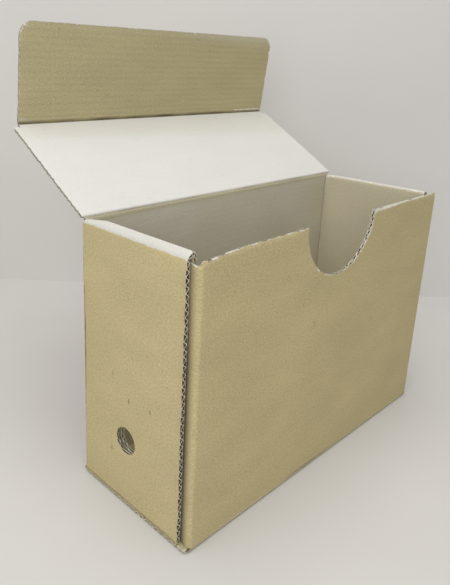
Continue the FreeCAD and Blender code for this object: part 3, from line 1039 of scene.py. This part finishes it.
def front_sheet():
    """Front wall with both side flaps, as one run across Z, and the notch's middle."""
    corners = ((FLAP_X, FLAP_END), (FLAP_X, FRONT_Y), (-FLAP_X, FRONT_Y), (-FLAP_X, FLAP_END))
    fold = Fold(corners, BEND, (0, 1, 2))
    end = fold.length
    left = fold.at_fold(1)
    right = fold.at_fold(0)
    middle = (left + right) / 2 + NOTCH_SHIFT
    notch = [
        (FRONT_TOP - NOTCH_DEPTH * math.sin(a), middle - NOTCH_REACH * math.cos(a))
        for a in np.linspace(0, math.pi, 44)
    ]

    def sag(at):
        """Height of the crushed top edge, lower towards the left corner."""
        dip = 3.2 * math.exp(-(((left - at) / 42) ** 2))
        return FRONT_TOP - dip - 0.8 * math.exp(-(((at - right) / 30) ** 2))

    def corner(at, way, first, last, foot):
        """Curved step from the flap's edge up to the wall's."""
        rise = sag(at + way * last) - foot
        return [
            (foot + rise * (0.5 - 0.5 * math.cos(math.pi * a)), at + way * (first + (last - first) * a))
            for a in np.linspace(0, 1, 9)
        ]

    def edge(first, last):
        """Top edge between two places."""
        return [(sag(at), at) for at in np.linspace(first, last, 24)]

    top = [(RELIEF_TOP, 0.0), (RELIEF_TOP, right - 6)] + corner(right, 1, -2.5, 1.0, RELIEF_TOP + 2.5)
    top += edge(right + 2, middle - NOTCH_REACH - 1) + notch + edge(middle + NOTCH_REACH + 1, left - 5)
    top += corner(left, -1, -5.0, 3.6, RELIEF_TOP - 0.6)[::-1]
    top += [(RELIEF_TOP, left + 7), (RELIEF_TOP, end)]
    runs = (
        (top, True),
        ([(RELIEF_TOP, end), (FOOT, end)], True),
        ([(FOOT, end), (FOOT, 0.0)], False),
        ([(FOOT, 0.0), (RELIEF_TOP, 0.0)], True),
    )
    return Sheet(fold, runs, across="u"), middle


def back_sheet():
    """Back wall with its two corner folds, as one run across Z."""
    start = SIDE_BACK - 0.01
    fold = Fold(((-SIDE_X, start), (-SIDE_X, BACK_Y), (SIDE_X, BACK_Y), (SIDE_X, start)), BEND, (0, 1, 2))
    end = fold.length
    loop = ((BACK_TOP, 0.0), (BACK_TOP, end), (FOOT, end), (FOOT, 0.0), (BACK_TOP, 0.0))
    return Sheet(fold, [(pair, False) for pair in zip(loop, loop[1:])], across="u")


def base_sheet():
    """Bottom panel with its front and back folds, as one run across X."""
    z = low("bottom_panel", UP) + HALF
    fold = Fold(((BACK_Y, FOOT), (BACK_Y, z), (FRONT_Y, z), (FRONT_Y, FOOT)), BEND, (1, 2, 0))
    end = fold.length
    back = fold.along(1, BACK_Y - SIDE_BACK)
    front = fold.along(1, BACK_Y - FRONT_Y)
    wide_back = high("back_bottom_crease", 0)
    wide_front = high("front_bottom_crease", 0)
    left = [
        (-wide_back, 0.0), (-wide_back, back), (-BASE_X, back + 1.0), (-BASE_X, front - 2.0),
        (-wide_front, front + 1.0), (-wide_front, end),
    ]
    runs = (
        (left, True),
        ([(-wide_front, end), (wide_front, end)], False),
        ([(-x, s) for x, s in left[::-1]], True),
        ([(wide_back, 0.0), (-wide_back, 0.0)], False),
    )
    holes = []
    for first, last in tab_places():
        middle = fold.along(1, BACK_Y - (first + last) / 2)
        size = (HALF + 0.4, (last - first) / 2 + 0.4)
        holes += [(x, middle, size, "slot") for x in (-INNER_X, INNER_X)]
    return Sheet(fold, runs, holes, torn=2.6)


def lid_fold_line():
    """Tuck flap, lid and the back wall's top, outer face outwards."""
    way = LID_DIR + TUCK_TURN
    tip = (TUCK_Y + TUCK_REACH * math.cos(way), TUCK_Z + TUCK_REACH * math.sin(way))
    return Fold((tip, (TUCK_Y, TUCK_Z), (LID_Y, LID_Z), (LID_Y, BACK_TOP)), BEND, (1, 2, 0))


def strip_sheet(fold, s0, s1, half_width, rounding=0.0, foot=None):
    """Part of the lid's run between two places, with rounded corners at its free edge."""
    top, start = [(half_width, s0), (-half_width, s0)], s0
    if rounding:
        start = s0 + rounding + 9.0
        arc = [
            (half_width - rounding * (1 - math.cos(a)), s0 + rounding * (1 - math.sin(a)))
            for a in np.linspace(0, math.pi / 2, 12)
        ]
        nick = [(half_width, start), (half_width - 2.4, start - 3.5), (half_width, start - 7.0)]
        dent = [(57.0, s0), (53.0, s0 + 1.9), (49.0, s0 + 0.5), (45.0, s0)]
        top = nick + arc[1:] + dent + [(-u, s) for u, s in arc[::-1]] + [(-half_width, start)]
    side = [(half_width, start), (half_width, s1)]
    if foot:
        side = [(half_width, start), (half_width, foot[0]), (foot[1], foot[0] + 2.0), (foot[1], s1)]
    runs = (
        (top, bool(rounding)),
        ([(-u, s) for u, s in side], True),
        ([(-side[-1][0], s1), (side[-1][0], s1)], False),
        (side[::-1], True),
    )
    return Sheet(fold, runs)


def finish_piece(piece, body, slot, *nodes):
    """Ride and stand-in calls that every rigid piece needs; the slot is not used."""
    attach(piece, body)
    if nodes:
        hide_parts(*nodes)


def on_box(piece, *nodes):
    """Finish a piece of the box itself."""
    finish_piece(piece, "box", "kraft_board", *nodes)


def on_folds(folds, width):
    """Rule that is 1 on each fold and fades away from it."""
    return lambda u, s, gap: sum(bump(s - fold, width) for fold in folds)


def side_wall(side, flip):
    """Liners, flutes and torn fibres of one side."""
    look = materials()
    sheet = side_sheet(flip)
    first, last = sheet.fold.at_fold(0), sheet.fold.at_fold(1)
    end = sheet.fold.length

    def bow(u, s):
        return -0.7 * np.abs(swell(u, s, 31, 210.0)) * smooth(10, 60, np.abs(s - (first + last) / 2))

    # Painted highlight on the turned-over top, where the overhead light falls, and a weaker one on the
    # inner wall's face
    def pale(u, s, gap):
        edge = first - 0.8 + 0.3 * swell(u, u * 0, 3, 9.0)
        cap = smooth(edge - 0.3, edge + 0.3, s) * (1 - smooth(last + 0.5, last + 1.0, s))
        return np.maximum(0.92 * cap, 0.40 * smooth(last + 0.5, last + 1.0, s))

    def wear(u, s, gap):
        corner = bump(s - last, 1.3) + 0.4 * bump(s - first, 1.0)
        return 0.62 * corner * smooth(-0.2, 0.5, swell(u, s, 8, 26.0))

    # Painted shade: a dark line at the wall's foot on the base, and a little on the top to tone down its
    # painted highlight
    def grime(u, s, gap):
        cap = smooth(first - 1, first, s) * (1 - smooth(last, last + 1, s))
        return 0.10 * cap + 0.45 * bump(s, 0.9)

    def flare(u, s):
        """The cut front edge springs open."""
        ripple = 1.3 + 0.35 * swell(s, s * 0, 5, 14.0)
        return ripple * bump(u - SIDE_FRONT, 2.8) * (1 - smooth(first - 9, first - 3, s))

    shared = dict(scores=((first, 1.5, 0.72), (last, 1.5, 0.72)), bow=bow, flare=flare)
    parts = ("_outer_wall", "_cap_outer_crease", "_rollover_cap", "_cap_inner_crease", "_inner_wall")
    face = look["side" if flip > 0 else "kraft"]
    rules = dict(pale=pale, wear=wear, grime=grime)
    outer = liner(side + "_wall_outer_liner", sheet, 1, face, **rules, **shared)
    on_box(outer, *[side + part for part in parts])
    on_box(liner(side + "_wall_inner_liner", sheet, -1, look["inside"], **shared))
    windows = [(SIDE_FRONT + 0.1, SIDE_FRONT + 13, 0.4, end - 0.4)]
    on_box(flutes(side + "_wall_flutes", sheet, windows, look["medium"], **shared))
    if flip > 0:
        for label, s in hole_places(end).items():
            patch = [(HOLE_Y - 30, HOLE_Y + 30, s - 28, s + 28)]
            name = "finger_hole_%s_flutes" % label
            on_box(flutes(name, sheet, patch, look["medium"], trim=True, **shared))
    edge = [[(SIDE_FRONT, 1.0), (SIDE_FRONT, first - 2)]]
    for label, w in (("outer", HALF - 0.3), ("inner", -HALF + 0.3)):
        on_box(fibres("%s_wall_%s_fibres" % (side, label), sheet, edge, look["cut"], 1.3, 1.0, 0.3, w))


class MAILER_OT_side_walls(bpy.types.Operator):
    """Build the two side walls with their turned-over tops and inner walls"""

    bl_idname = "mailer.side_walls"
    bl_label = "Side Walls"

    def execute(self, context):
        side_wall("left", 1)
        side_wall("right", -1)
        return {"FINISHED"}


class MAILER_OT_front_wall(bpy.types.Operator):
    """Build the front wall with its notch and its side flaps"""

    bl_idname = "mailer.front_wall"
    bl_label = "Front Wall"

    def execute(self, context):
        look = materials()
        sheet, middle = front_sheet()
        left, right = sheet.fold.at_fold(1), sheet.fold.at_fold(0)

        def bow(u, s):
            ends = smooth(0, 60, s - right) * smooth(0, 60, left - s)
            return -0.9 * np.abs(swell(u, s, 12, 260.0)) * ends

        # Painted highlights along the two corner folds
        def rub(u, s, gap):
            return 0.55 * bump(s - left + 0.6, 0.8) + 0.8 * bump(s - right, 1.3)

        # Painted shade: the left fold darkens towards the gap beside the side wall, with a dark line in the
        # gap, more so low down; the front grows a little darker to the right
        def grime(u, s, gap):
            low_down = smooth(310, 200, u)
            shade = 0.52 * smooth(left + 0.5, left + 11.5, s) * (0.25 + 0.75 * low_down)
            gap_line = smooth(left + 10.8, left + 12.0, s) * (0.6 + 0.4 * low_down)
            return np.maximum(gap_line, shade) + 0.03 * smooth(middle, right, s)

        def wear(u, s, gap):
            near = bump(gap, 1.6) * smooth(-0.15, 0.45, swell(s, s * 0, 6, 30.0))
            band = 1.8 + 2.2 * smooth(right + 60, middle - NOTCH_REACH, s)
            peeled = bump(gap, band) * smooth(right + 4, right + 30, s) * (s < middle - NOTCH_REACH + 1)
            chip = bump(s - left + 16, 7) * bump(gap, 2.4)
            return 0.72 * near + 0.95 * np.maximum(peeled * (u > FRONT_TOP - 6), chip)

        def crush(u, s):
            """The top edge is pressed together away from the notch."""
            aside = smooth(NOTCH_REACH + 15, NOTCH_REACH + 24, np.abs(s - middle))
            return 0.10 + 0.75 * aside * smooth(60, 100, u)

        def crushed_flap(u, s):
            """The flap inside the side wall is pressed thinner."""
            return -1.3 * smooth(left + 3, left + 11, s) - 0.55 * smooth(right - 4, right - 11, s)

        shared = dict(scores=[(fold, *SCORE) for fold in (left, right)], bow=bow)
        rules = dict(wear=wear, crush=crush, **shared)
        outer = liner("front_wall_outer_liner", sheet, 1, look["front"], rub=rub, grime=grime,
                      flare=crushed_flap, **rules)
        on_box(outer, "front_wall", "front_left_crease", "front_right_crease", "front_left_flap",
               "front_right_flap")
        on_box(liner("front_wall_inner_liner", sheet, -1, look["inside"], **rules))
        around = [
            (FRONT_TOP - NOTCH_REACH - 14, FRONT_TOP, middle - NOTCH_REACH - 16, middle + NOTCH_REACH + 16)
        ]
        on_box(flutes("front_wall_notch_flutes", sheet, around, look["medium"], trim=True, **shared))
        line = sheet.runs[0][0]
        rim = [p for p in line if abs(p[1] - middle) < NOTCH_REACH + 1 and p[1] < middle]
        on_box(fibres("front_edge_fibres", sheet, [line], look["fibre"], 0.9, 1.3, 0.5, 0.4))
        on_box(fibres("front_rim_fibres", sheet, [rim], look["fibre"], 1.9, 2.8, 1.0, 0.4, 0.36))
        return {"FINISHED"}


class MAILER_OT_back_wall(bpy.types.Operator):
    """Build the back wall with its corner folds"""

    bl_idname = "mailer.back_wall"
    bl_label = "Back Wall"

    def execute(self, context):
        look = materials()
        sheet = back_sheet()
        folds = [sheet.fold.at_fold(0), sheet.fold.at_fold(1)]
        scores = [(fold, *SCORE) for fold in folds]

        # Painted highlight: the inner face painted paler, standing for light reflected into the box
        def pale(u, s, gap):
            return 0.54 + 0.08 * swell(u, s, 15, 160.0)

        # The outer liner gets painted highlights along both corner folds
        outer = liner("back_wall_outer_liner", sheet, 1, look["kraft"], scores, rub=on_folds(folds, 2.0))
        on_box(outer, "back_wall", "back_left_crease", "back_right_crease")
        on_box(liner("back_wall_inner_liner", sheet, -1, look["inside"], scores, pale=pale))
        return {"FINISHED"}


class MAILER_OT_base(bpy.types.Operator):
    """Build the bottom panel with its front and back folds"""

    bl_idname = "mailer.base"
    bl_label = "Base"

    def execute(self, context):
        look = materials()
        sheet = base_sheet()
        folds = [sheet.fold.at_fold(0), sheet.fold.at_fold(1)]

        def wear(u, s, gap):
            corner = bump(np.hypot(u + BASE_X, s - folds[1] + 3.0), 6.0)
            return 0.4 * bump(gap, 1.3) * smooth(0.1, 0.5, swell(u, s, 9, 16.0)) + 0.65 * corner

        # Painted shade along the cut edges, which lie under the side walls, and around the slots
        def grime(u, s, gap):
            return 0.34 * bump(gap, 2.8)

        rules = dict(
            scores=[(fold, *SCORE) for fold in folds], crush=0.22, hollow="kraft", wear=wear, grime=grime
        )
        # The outer liner gets painted highlights along both folds
        outer = liner("base_outer_liner", sheet, 1, look["kraft"], rub=on_folds(folds, 1.3), **rules)
        on_box(outer, "bottom_panel", "front_bottom_crease", "back_bottom_crease")
        on_box(liner("base_inner_liner", sheet, -1, look["inside"], **rules))
        rows = (FOLD * 1.8, sheet.fold.length - FOLD * 1.8)
        windows = [(-BASE_X + 0.2, -BASE_X + 14, *rows), (BASE_X - 14, BASE_X - 0.2, *rows)]
        on_box(flutes("base_edge_flutes", sheet, windows, look["kraft"]))
        curl = [(inset - BASE_X, folds[1] - away) for inset, away in ((1.5, 7.0), (1.0, 3.0), (2.5, 1.0))]
        on_box(fibres("base_corner_curl", sheet, [curl], look["fibre"], 0.35, 3.2, 0.9, -0.9, 0.42))
        lines = [sheet.runs[0][0], sheet.runs[2][0]]
        for number, w in enumerate((HALF - 0.5, -HALF + 0.4)):
            on_box(fibres("base_edge_fibres_%d" % number, sheet, lines, look["fibre"], 0.9, 1.3, 0.4, w))
        return {"FINISHED"}


class MAILER_OT_lid(bpy.types.Operator):
    """Build the lid, the tuck flap and the two creases"""

    bl_idname = "mailer.lid"
    bl_label = "Lid And Tuck Flap"

    def execute(self, context):
        look = materials()
        fold = lid_fold_line()
        tuck, back = fold.at_fold(0), fold.at_fold(1)

        # Painted highlights along the tuck crease and the hinge
        def rub(u, s, gap):
            return 0.8 * bump(s - tuck, 1.6) + 0.8 * bump(s - back, 1.6)

        def wrinkle(u, s):
            """Short slanting wrinkle at the flap's left foot."""
            away = (s - tuck + 8.0) * 0.95 - (u + TUCK_X) * 0.3
            return bump(away, 1.9) * (1 - smooth(14, 30, u + TUCK_X)) * (1 - smooth(tuck - 2, tuck, s))

        def pale(u, s, gap):
            """Painted highlight: the lid's inner face, lit from above, a little less so in a slanting band
            by the tuck crease, which is painted shadow of the flap.
            """
            lid = smooth(tuck - 0.6, tuck + 0.6, s) * (1 - smooth(back - 0.4, back + 0.4, s))
            band = smooth(tuck + 22 + 0.055 * (u + LID_X), tuck + 34 + 0.085 * (u + LID_X), s)
            # Painted highlights at the flap's top edge and along its wrinkle; the back wall's top inner
            # face is painted paler too
            top = 0.26 * bump(s, 11) * (1.2 - smooth(-200, 60, -u) * 0.9) + 0.42 * wrinkle(u, s)
            return np.maximum(lid * (0.88 + 0.12 * band), 0.30 * smooth(back, back + 1, s)) + top

        # Painted shade: a dark line in the tuck crease's groove, weaker towards one end, and one under the
        # hinge
        def grime(u, s, gap):
            line = 0.95 * bump(s - tuck + 2.5, 2.0) * (1 - 0.35 * smooth(TUCK_X - 80, TUCK_X - 60, u))
            line = line + 0.62 * bump(s - back - 0.2, 0.7)
            return line * (0.85 + 0.25 * swell(u, s, 2, 60.0))

        def wear(u, s, gap):
            corner = bump(np.abs(u) - TUCK_X + 7, 8) * (1 - smooth(3, 15, s))
            torn = bump(s - tuck + 5.4, 1.7) * smooth(TUCK_X - 82, TUCK_X - 60, u)
            chips = bump(gap, 1.2) * smooth(0.0, 0.5, swell(u, s, 4, 22.0))
            return 0.62 * corner + 0.75 * torn + 0.6 * chips

        def bow(u, s):
            flap = 1.3 * (1 - (u / TUCK_X) ** 2) * (1 - smooth(20, 110, s))
            sag = 0.5 * np.abs(swell(u, s, 5, 240.0)) * smooth(6, 40, np.abs(s - tuck))
            return 0.5 * wrinkle(u, s) - sag - flap

        shared = dict(scores=((tuck, 1.7, 0.6), (back, 1.2, 0.72)), bow=bow)
        grooves = ((tuck, 1.1, 0.75), (back, 0.6, 0.7), (tuck - 7.8, 1.2, 0.25))

        def liners(name, sheet):
            """Outer and inner liner of one part of the run, each with its slot."""
            both = dict(hollow="lid_medium", **shared)
            outer = liner(name + "_outer_liner", sheet, 1, look["kraft"], rub=rub, **both)
            inner = liner(name + "_inner_liner", sheet, -1, look["inside"], pale=pale, grime=grime,
                          wear=wear, grooves=grooves, **both)
            return (outer, "kraft_board"), (inner, "pale_liner")

        def panel(name, body, s0, s1, half, rounding, *nodes):
            """Stiff part of the run, with its flutes and torn fibres."""
            sheet = strip_sheet(fold, s0, s1, half, rounding)
            (outer, slot), (inner, inner_slot) = liners(name, sheet)
            finish_piece(outer, body, slot, *nodes)
            finish_piece(inner, body, inner_slot)
            start, reach, first = s0 + 0.3, 14, 0.1
            lines, offset = [sheet.runs[1][0], sheet.runs[3][0]], -0.3
            if rounding:
                start, reach, first = s0, 26, 0.0
                lines = [[(way * (half - 0.5), s0 + 60), (way * (half - 0.5), s1)] for way in (-1, 1)]
                offset = -1.2
            ends = (start, s1 - 0.2)
            windows = [(-half + first, -half + reach, *ends), (half - reach, half - first, *ends)]
            core = flutes(name + "_flutes", sheet, windows, look["lid_medium"], rounding > 0, **shared)
            finish_piece(core, body, "kraft_board")
            hairs = fibres(name + "_edge_fibres", sheet, lines, look["cut"], 1.1, 0.6, 0.2, offset)
            finish_piece(hairs, body, "kraft_board")

        def crease(name, at, half, foot, parent, child, *nodes):
            """Fold between two parts, its liners baked where they stand; the parent and child are not used.
            """
            first, last = at - CREASE_ZONE, min(at + CREASE_ZONE, fold.length)
            far, near = fold.place(np.zeros(2), np.array([first, last]), np.zeros(2)) * MM
            for piece, slot in liners(name, strip_sheet(fold, first, last, half, foot=foot)):
                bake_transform(piece)
                if nodes and slot == "kraft_board":
                    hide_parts(*nodes)

        panel("tuck_flap", "tuck", 0.0, tuck - CREASE_ZONE, TUCK_X, 18.0, "tuck_flap")
        panel("lid_panel", "lid", tuck + CREASE_ZONE, back - CREASE_ZONE, LID_X, 0.0, "lid_panel",
              "tuck_crease")
        crease("tuck_crease", tuck, TUCK_X, None, "lid", "tuck")
        crease("lid_crease", back, LID_X, (back - 0.8, SIDE_X - 2.0), "box", "lid", "lid_crease")
        return {"FINISHED"}


# Stage
WALL = ((-1.764, 2.536), (2.449, -1.748))
WALL_TOP, FLOOR_REACH = 3.2, 6
FRAME_WIDTH, FRAME_HEIGHT = 450, 585
# The lens's focal length and the middle of its view, on the scale of the frame's sides
FOCAL, CENTRE_X, CENTRE_Y = 593.0, 181.2, 237.0
SENSOR = 24.0


def stage_material(name, colour, one_sided=False):
    """Matt stage paint; a one-sided wall can't be seen from behind."""
    material = bpy.data.materials.new(name)
    material.use_nodes = True
    material.node_tree.nodes.clear()
    t = Tree(material.node_tree)
    where = t.add("ShaderNodeTexCoord").outputs["Object"]
    cloud = remap(t, noise(t, where, (2.2, 2.2, 2.2), 3.0), 0.3, 0.7, 0.97, 1.03)
    base = mix(t, 1.0, colour, grey(t, cloud), "MULTIPLY")
    shader = t.out("ShaderNodeBsdfPrincipled", {"Base Color": base, "Roughness": 0.75})
    if one_sided:
        back = t.add("ShaderNodeNewGeometry").outputs["Backfacing"]
        shader = t.out("ShaderNodeMixShader", {0: back, 1: shader, 2: t.out("ShaderNodeBsdfTransparent")})
    t.add("ShaderNodeOutputMaterial", {"Surface": shader})
    return material


def flat_quad(name, corners, material):
    """Stage quad from four corners in metres."""
    mesh = bpy.data.meshes.new(name)
    mesh.from_pydata(corners, [], [(0, 1, 2, 3)])
    return new_piece(name, mesh, material)


def area_light(name, place, target, size, power, colour):
    """Soft square light that looks at a target."""
    data = bpy.data.lights.new(name, "AREA")
    data.energy = power
    data.size = size
    data.color = colour
    light = linked(name, data)
    light.location = place
    light.rotation_euler = (Vector(target) - Vector(place)).to_track_quat("-Z", "Y").to_euler()


class MAILER_OT_stage(bpy.types.Operator):
    """Build the floor, the backdrop, the lights and the camera"""

    bl_idname = "mailer.stage"
    bl_label = "Stage"

    def execute(self, context):
        scene = context.scene
        settings = scene.mailer_stage
        z = CAD_BOX[0].z - 0.0006
        corners = [(FLOOR_REACH * x, FLOOR_REACH * y, z) for x, y in ((-1, -1), (1, -1), (1, 1), (-1, 1))]
        floor = flat_quad("stage_floor", corners, stage_material("stage_floor_paint", (0.62, 0.605, 0.585)))
        corners = [(*WALL[0], z), (*WALL[1], z), (*WALL[1], WALL_TOP), (*WALL[0], WALL_TOP)]
        paint = stage_material("stage_wall_paint", (0.68, 0.665, 0.645), one_sided=True)
        wall = flat_quad("stage_wall", corners, paint)
        key = settings.key
        area_light("ceiling_light", (-0.5, -0.2, 2.2), (0, 0, 0.2), 1.8, key * 2.0, (1.0, 0.985, 0.955))
        area_light("window_fill", (-1.35, -0.85, 0.85), (-0.1, 0, 0.2), 0.9, key * 0.6, (0.98, 1.0, 0.975))
        world = bpy.data.worlds.new("soft_room")
        world.use_nodes = True
        sky = world.node_tree.nodes["Background"].inputs
        sky[0].default_value = (0.92, 0.93, 0.95, 1)
        sky[1].default_value = 0.5
        scene.world = world
        data = bpy.data.cameras.new("main_camera")
        data.sensor_fit = "VERTICAL"
        data.sensor_height = data.sensor_width = SENSOR
        data.lens = FOCAL / FRAME_HEIGHT * SENSOR
        data.shift_x = (FRAME_WIDTH / 2 - CENTRE_X) / FRAME_HEIGHT
        data.shift_y = -(FRAME_HEIGHT / 2 - CENTRE_Y) / FRAME_HEIGHT
        data.clip_start = 0.05
        data.clip_end = 40
        camera = linked("main_camera", data)
        turn = Matrix.Rotation(settings.azimuth, 3, "Z")
        tilt = Matrix.Rotation(math.pi / 2 - settings.pitch_down, 3, "X")
        roll = Matrix.Rotation(settings.roll, 3, "Z")
        camera.matrix_world = Matrix.Translation(settings.place) @ (turn @ tilt @ roll).to_4x4()
        scene.camera = camera
        scene.view_settings.view_transform = "Standard"
        return {"FINISHED"}


class MAILER_PT_panel(bpy.types.Panel):
    """Lists the box's pieces and settings"""

    bl_idname = "MAILER_PT_panel"
    bl_label = "Mailer Box"
    bl_space_type = "VIEW_3D"
    bl_region_type = "UI"
    bl_category = "Mailer Box"

    def draw(self, context):
        layout = self.layout
        for name, _ in GROUPS:
            settings = getattr(context.scene, name)
            column = layout.column(align=True)
            for key in settings.bl_rna.properties.keys():
                if key not in ("rna_type", "name"):
                    column.prop(settings, key)
        for piece in PIECES:
            layout.operator(piece.bl_idname)


PIECES = (
    MAILER_OT_side_walls,
    MAILER_OT_front_wall,
    MAILER_OT_back_wall,
    MAILER_OT_base,
    MAILER_OT_lid,
    MAILER_OT_stage,
)
GROUPS = (
    ("mailer_board", BoardSettings),
    ("mailer_paper", PaperSettings),
    ("mailer_stage", StageSettings),
)


def register():
    for name, group in GROUPS:
        bpy.utils.register_class(group)
        setattr(bpy.types.Scene, name, bpy.props.PointerProperty(type=group))
    for item in (*PIECES, MAILER_PT_panel):
        bpy.utils.register_class(item)


def unregister():
    for item in (MAILER_PT_panel, *reversed(PIECES)):
        bpy.utils.unregister_class(item)
    for name, group in reversed(GROUPS):
        delattr(bpy.types.Scene, name)
        bpy.utils.unregister_class(group)


def main():
    register()
    bpy.ops.mailer.side_walls()
    bpy.ops.mailer.front_wall()
    bpy.ops.mailer.back_wall()
    bpy.ops.mailer.base()
    bpy.ops.mailer.lid()
    bpy.ops.mailer.stage()


if __name__ == "__main__":
    main()
